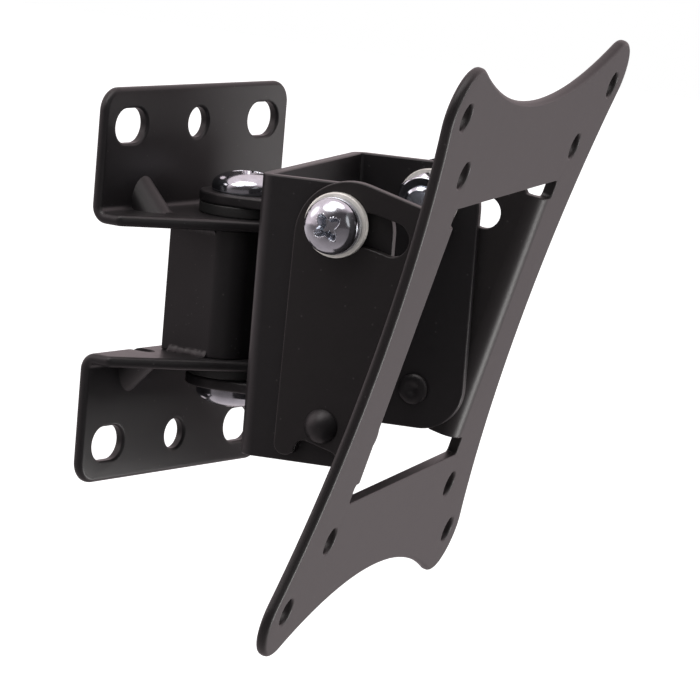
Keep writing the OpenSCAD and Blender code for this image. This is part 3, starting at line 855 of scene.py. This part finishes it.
class MOUNT_OT_swivel_box(Operator):
    """Dress the folded swivel box"""

    bl_idname = "mount.swivel_box"
    bl_label = "Swivel box"

    def execute(self, context):
        radius = context.scene.mount_paint.crisp_radius
        sheet_piece("swivel_box", frame_paint(context.scene), radius)
        return {"FINISHED"}


class MOUNT_OT_hinge_bracket(Operator):
    """Dress the hinge bracket and its welds inside the box"""

    bl_idname = "mount.hinge_bracket"
    bl_label = "Hinge bracket"

    def execute(self, context):
        coat = frame_paint(context.scene)
        sheet_piece("hinge_bracket", coat, BRACKET_RADIUS)
        beads = weld_paint(context.scene)
        small_piece("hinge_welds", beads, BEAD_RADIUS, 3, clamp=True)
        return {"FINISHED"}


class MOUNT_OT_screen_plate(Operator):
    """Dress the screen plate: strongly rolled front edge, crisper ears, softened holes"""

    bl_idname = "mount.screen_plate"
    bl_label = "Screen plate"

    def execute(self, context):
        paint = context.scene.mount_paint
        rim = paint.rim_radius / paint.edge_radius
        crisp = paint.crisp_radius / paint.edge_radius
        back = PLATE.inverted()
        low, high = span("screen_plate", PLATE)
        middle = (low.z + high.z) / 2

        def near_fold(spot):
            beside = FOLD_INNER < abs(spot.x) < FOLD_OUTER
            return beside and abs(spot.z - middle) < FOLD_HALF_HEIGHT

        def weigh(chain, edge):
            if chain_reach(chain) < PLATE_HOLE_REACH:
                return rim
            spots = [back @ vert.co for vert in edge.verts]
            if all(near_fold(spot) for spot in spots):
                return crisp * FOLD_SHARE
            return 1.0 if max(spot.y - low.y for spot in spots) < FRONT_DEPTH else crisp

        coat = plate_paint(context.scene)
        sheet_piece("screen_plate", coat, paint.edge_radius, weigh, 4)
        return {"FINISHED"}


class MOUNT_OT_swivel_fasteners(Operator):
    """Turn the plated swivel screw and the sleeve nut below it"""

    bl_idname = "mount.swivel_fasteners"
    bl_label = "Swivel screw and sleeve nut"

    def execute(self, context):
        low, high = span("swivel_screw", HEAD)
        radius = high.x
        head = head_profile(radius, SWIVEL_HEAD, SWIVEL_FLANK)
        seat = high.z - SWIVEL_HEAD
        end = low.z - seat
        shank = [
            (SCREW_RADIUS, 0.0),
            (SCREW_RADIUS, end + SCREW_CHAMFER),
            (SCREW_RADIUS - SCREW_CHAMFER, end),
            (0, end),
        ]
        crown = Matrix.Translation((0, 0, SWIVEL_HEAD))
        names = ("swivel_screw_turned", "swivel_screw")
        self.make(context, names, head + shank, radius, crown, 0.3, seat)

        low, high = span("swivel_sleeve_nut", HEAD)
        seat = low.z + SWIVEL_HEAD
        end = high.z - seat
        below = [(r, -z) for r, z in head]
        barrel = [
            (BARREL_RADIUS, 0.0),
            (BARREL_RADIUS, end - BARREL_CHAMFER),
            (BARREL_RADIUS - BARREL_CHAMFER, end),
            (BORE_RADIUS, end),
            (BORE_RADIUS, end - BORE_DEPTH),
            (0, end - BORE_DEPTH - BORE_TIP),
        ]
        crown = Matrix.Translation((0, 0, -SWIVEL_HEAD)) @ Matrix.Rotation(pi, 4, "X")
        names = ("swivel_sleeve_turned", "swivel_sleeve_nut")
        self.make(context, names, below + barrel, radius, crown, 0.9, seat)
        return {"FINISHED"}

    def make(self, context, names, profile, radius, crown, turn, seat):
        """Turns one of the two, cuts its recess and seats it on the swivel's axis."""
        name, node = names
        bm = turned(profile, context.scene.mount_fasteners.steps)
        bm = cut_recess(bm, crown, radius, SWIVEL_RECESS, turn)
        place = HEAD @ Matrix.Translation((0, 0, seat))
        plated_piece(name, bm, node, bright_plating(context.scene), place)


class MOUNT_OT_friction_washers(Operator):
    """Dress the two black friction washers"""

    bl_idname = "mount.friction_washers"
    bl_label = "Friction washers"

    def execute(self, context):
        nylon = black_nylon("friction_nylon", context.scene.mount_fasteners.nylon)
        for node in ("upper_friction_washer", "lower_friction_washer"):
            small_piece(node, nylon, radius=0.0003)
        return {"FINISHED"}


class MOUNT_OT_pivot_rivets(Operator):
    """Turn the two domed tilt rivets with their closed tails"""

    bl_idname = "mount.pivot_rivets"
    bl_label = "Tilt rivets"

    def execute(self, context):
        steps = context.scene.mount_fasteners.steps
        dome_steps = 12
        for side, name in ((-1, "left"), (1, "right")):
            node = f"{name}_pivot_rivet"
            place = side_place(side, node)
            low, high = span(node, place)
            radius = high.x
            ball = (radius * radius + RIVET_RISE * RIVET_RISE) / (2 * RIVET_RISE)
            lean = atan2(radius - 0.0002, ball - RIVET_RISE)
            angles = [lean * i / dome_steps for i in range(dome_steps + 1)]
            dome = [(ball * sin(t), high.z - ball + ball * cos(t)) for t in angles]
            seat = high.z - RIVET_RISE
            tail = low.z
            shank = [
                (radius - 0.0001, seat + 0.00005),
                (radius - 0.0003, seat),
                (RIVET_SHANK, seat),
                (RIVET_SHANK, tail + TAIL_HEIGHT),
                (RIVET_TAIL, tail + TAIL_HEIGHT),
                (RIVET_TAIL, tail + 0.0004),
                (RIVET_TAIL - 0.0005, tail),
                (0.0012, tail),
                (0.0008, tail + 0.0003),
                (0, tail + 0.0004),
            ]
            bm = turned(dome + shank, steps)
            round_edges(bm, limit=40)
            coat = frame_paint(context.scene)
            piece = finish_piece(f"{node}_turned", bm, node, coat, place)
            add_rounding(piece, 0.00008, 2)
        return {"FINISHED"}


class MOUNT_OT_tilt_screws(Operator):
    """Turn the two plated tilt screws: domed head, cross recess and threaded shank"""

    bl_idname = "mount.tilt_screws"
    bl_label = "Tilt screws"

    def execute(self, context):
        settings = context.scene.mount_fasteners
        metal = bright_plating(context.scene)
        for side, name in ((-1, "left"), (1, "right")):
            node = f"{name}_tilt_screw"
            place = side_place(side, node)
            low, high = span(node, place)
            radius = high.x
            seat = high.z - TILT_HEAD - CROWN_GAP
            neck = seat - NECK_LENGTH
            head = [(r, seat + z) for r, z in head_profile(radius, TILT_HEAD, TILT_FLANK)]
            shank = [(SCREW_RADIUS, seat), (SCREW_RADIUS, neck), (CORE_RADIUS, neck), (0, neck)]
            screw = turned(head + shank, settings.steps)
            crown = Matrix.Translation((0, 0, seat + TILT_HEAD))
            screw = cut_recess(screw, crown, radius, TILT_RECESS, radians(36))
            join(screw, thread(SCREW_RADIUS, settings.pitch, low.z, neck + 0.0004, 32))

            def weigh(chain, edge):
                return 1.0 if min(vert.co.z for vert in edge.verts) > neck else 0.0

            plated_piece(f"{node}_turned", screw, node, metal, place, weigh)
        return {"FINISHED"}


class MOUNT_OT_tilt_washers(Operator):
    """Dress the flat, split and inner washers of the tilt screws"""

    bl_idname = "mount.tilt_washers"
    bl_label = "Tilt washers"

    def execute(self, context):
        # The washers' pale colour is partly painted sheen.
        zinc_and_sheen = washer_plating(context.scene)
        bright = bright_plating(context.scene)
        for way, side in ((-1, "left"), (1, "right")):
            clear = HEAD_TURN @ Vector((way * SEAT_GAP, 0, 0))
            flat = f"{side}_flat_washer"
            small_piece(flat, zinc_and_sheen, radius=0.0003, segments=3, shift=clear)
            small_piece(f"{side}_inner_washer", zinc_and_sheen, radius=0.0002)
            small_piece(f"{side}_split_washer", bright, radius=0.00015)
        return {"FINISHED"}


class MOUNT_OT_tilt_nuts(Operator):
    """Dress the two hexagon nuts inside the box"""

    bl_idname = "mount.tilt_nuts"
    bl_label = "Tilt nuts"

    def execute(self, context):
        bright = bright_plating(context.scene)
        for side in ("left", "right"):
            small_piece(f"{side}_tilt_nut", bright, radius=0.00015, limit=18)
        return {"FINISHED"}


class MOUNT_OT_stage(Operator):
    """Set up the camera, the floor, the soft lights and the white surroundings"""

    bl_idname = "mount.stage"
    bl_label = "Stage"

    def execute(self, context):
        scene = context.scene
        stage = scene.mount_stage
        scene.view_settings.view_transform = "Standard"
        lens = bpy.data.cameras.new("photograph_view")
        lens.sensor_width = SENSOR_WIDTH
        lens.lens = CAMERA_LENS
        lens.clip_start, lens.clip_end = 0.05, 20.0
        camera = bpy.data.objects.new("photograph_view", lens)
        turn = Matrix(CAMERA_TURN).to_4x4()
        camera.matrix_world = Matrix.Translation(CAMERA_PLACE) @ turn
        scene.collection.objects.link(camera)
        scene.camera = camera

        low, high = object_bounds()
        centre = (low + high) / 2
        below = (centre.x, centre.y, low.z - stage.floor_drop)
        bm = bmesh.new()
        bmesh.ops.create_grid(bm, x_segments=2, y_segments=2, size=4.0)
        bmesh.ops.translate(bm, vec=below, verts=bm.verts)
        mesh = bpy.data.meshes.new("pale_floor")
        bm.to_mesh(mesh)
        bm.free()
        floor = bpy.data.objects.new("pale_floor", mesh)
        scene.collection.objects.link(floor)
        mesh.materials.append(self.floor_material())
        floor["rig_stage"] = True

        for name, offset, size, setting in LIGHTS:
            strength = getattr(stage, setting)
            self.soft_light(name, centre + Vector(offset), centre, size, strength)
        self.surroundings(scene, stage.ambient)
        return {"FINISHED"}

    def floor_material(self):
        """White to the camera, pale to the light, and with painted shade and a painted glow in the
        part's reflections.
        """
        dimmest, camera_glow, painted_reflection_glow = 0.25, 0.75, 0.12
        material, tree, surface = new_material("pale_floor_paint")
        cloud = noise(tree, 3.0, 3.0)
        tone = blend(tree, cloud, (0.86, 0.86, 0.86), (0.89, 0.89, 0.89))
        path = add(tree, "ShaderNodeLightPath")
        # In reflections the floor's colour is painted shade: darker on one side and tinted.
        side = ramp(tree, dot(tree, object_place(tree), FLOOR_SIDE), -0.5, 0.9)
        shade = math(tree, "ADD", math(tree, "MULTIPLY", side, 1.0 - dimmest), dimmest)
        dim = blend(tree, shade, BLACK, FLOOR_TINT)
        tone = blend(tree, path.outputs["Is Glossy Ray"], tone, dim)
        tree.links.new(tone, surface.inputs["Base Color"])
        surface.inputs["Roughness"].default_value = 0.8
        surface.inputs["Specular IOR Level"].default_value = 0.1
        direct = path.outputs["Is Camera Ray"], path.outputs["Is Transmission Ray"]
        # In reflections the floor also glows by that painted shade, though it is no lamp.
        mirrored = math(tree, "MULTIPLY", path.outputs["Is Glossy Ray"], shade)
        mirrored = math(tree, "MULTIPLY", mirrored, painted_reflection_glow)
        seen = math(tree, "ADD", math(tree, "MAXIMUM", *direct), mirrored)
        shine = blend(tree, math(tree, "MULTIPLY", seen, camera_glow), BLACK, WHITE)
        tree.links.new(shine, surface.inputs["Emission Color"])
        surface.inputs["Emission Strength"].default_value = 1.0
        return material

    def soft_light(self, name, place, target, size, strength):
        """Round soft light that faces the mount."""
        lamp = bpy.data.lights.new(name, "AREA")
        lamp.shape = "DISK"
        lamp.size = size
        lamp.energy = strength
        lamp.color = LIGHT_COLOUR
        light = bpy.data.objects.new(name, lamp)
        facing = (target - place).to_track_quat("-Z", "Y").to_matrix().to_4x4()
        light.matrix_world = Matrix.Translation(place) @ facing
        bpy.context.scene.collection.objects.link(light)

    def surroundings(self, scene, ambient):
        """White to the camera, dimmer on matt surfaces, and shaded in reflections."""
        dimmest = 0.07
        world = bpy.data.worlds.new("white_surroundings")
        scene.world = world
        world.use_nodes = True
        tree = world.node_tree
        back = tree.nodes["Background"]
        path = add(tree, "ShaderNodeLightPath")
        camera_ray = path.outputs["Is Camera Ray"]
        place = add(tree, "ShaderNodeTexCoord").outputs["Generated"]
        side = ramp(tree, dot(tree, place, ROOM_SIDE), -0.35, 0.2)
        room = math(tree, "ADD", math(tree, "MULTIPLY", side, 1.0 - dimmest), dimmest)
        mirrors = path.outputs["Is Glossy Ray"], path.outputs["Is Transmission Ray"]
        mirror = math(tree, "MAXIMUM", *mirrors)
        level = math(tree, "ADD", math(tree, "MULTIPLY", mirror, room), camera_ray)
        matt = math(tree, "SUBTRACT", 1.0, math(tree, "MAXIMUM", mirror, camera_ray))
        level = math(tree, "ADD", level, math(tree, "MULTIPLY", matt, ambient))
        tint = blend(tree, mirror, WHITE, ROOM_TINT)
        tone = blend(tree, level, BLACK, WHITE)
        tone = add(tree, "ShaderNodeVectorMath", {0: tone, 1: tint}, operation="MULTIPLY")
        tree.links.new(tone.outputs[0], back.inputs["Color"])
        back.inputs["Strength"].default_value = 1.0


class MOUNT_PT_panel(Panel):
    """Lists the settings and the steps that dress the mount"""

    bl_idname = "MOUNT_PT_panel"
    bl_label = "Screen mount"
    bl_space_type = "VIEW_3D"
    bl_region_type = "UI"
    bl_category = "Mount"

    def draw(self, context):
        scene = context.scene
        for group in (scene.mount_paint, scene.mount_fasteners, scene.mount_stage):
            column = self.layout.column(align=True)
            for name in group.__annotations__:
                column.prop(group, name)
        column = self.layout.column(align=True)
        for step in STEPS:
            column.operator(step.bl_idname)


GROUPS = (MountPaint, MountFasteners, MountStage)
STEPS = (
    MOUNT_OT_stage,
    MOUNT_OT_wall_angles,
    MOUNT_OT_centre_post,
    MOUNT_OT_swivel_box,
    MOUNT_OT_hinge_bracket,
    MOUNT_OT_swivel_fasteners,
    MOUNT_OT_friction_washers,
    MOUNT_OT_screen_plate,
    MOUNT_OT_pivot_rivets,
    MOUNT_OT_tilt_screws,
    MOUNT_OT_tilt_washers,
    MOUNT_OT_tilt_nuts,
)


def register():
    for kind in (*GROUPS, *STEPS, MOUNT_PT_panel):
        bpy.utils.register_class(kind)
    bpy.types.Scene.mount_paint = PointerProperty(type=MountPaint)
    bpy.types.Scene.mount_fasteners = PointerProperty(type=MountFasteners)
    bpy.types.Scene.mount_stage = PointerProperty(type=MountStage)


def unregister():
    del bpy.types.Scene.mount_stage
    del bpy.types.Scene.mount_fasteners
    del bpy.types.Scene.mount_paint
    for kind in reversed((*GROUPS, *STEPS, MOUNT_PT_panel)):
        bpy.utils.unregister_class(kind)


def main():
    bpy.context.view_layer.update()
    register()
    for step in STEPS:
        family, name = step.bl_idname.split(".")
        getattr(getattr(bpy.ops, family), name)()


if __name__ == "__main__":
    main()
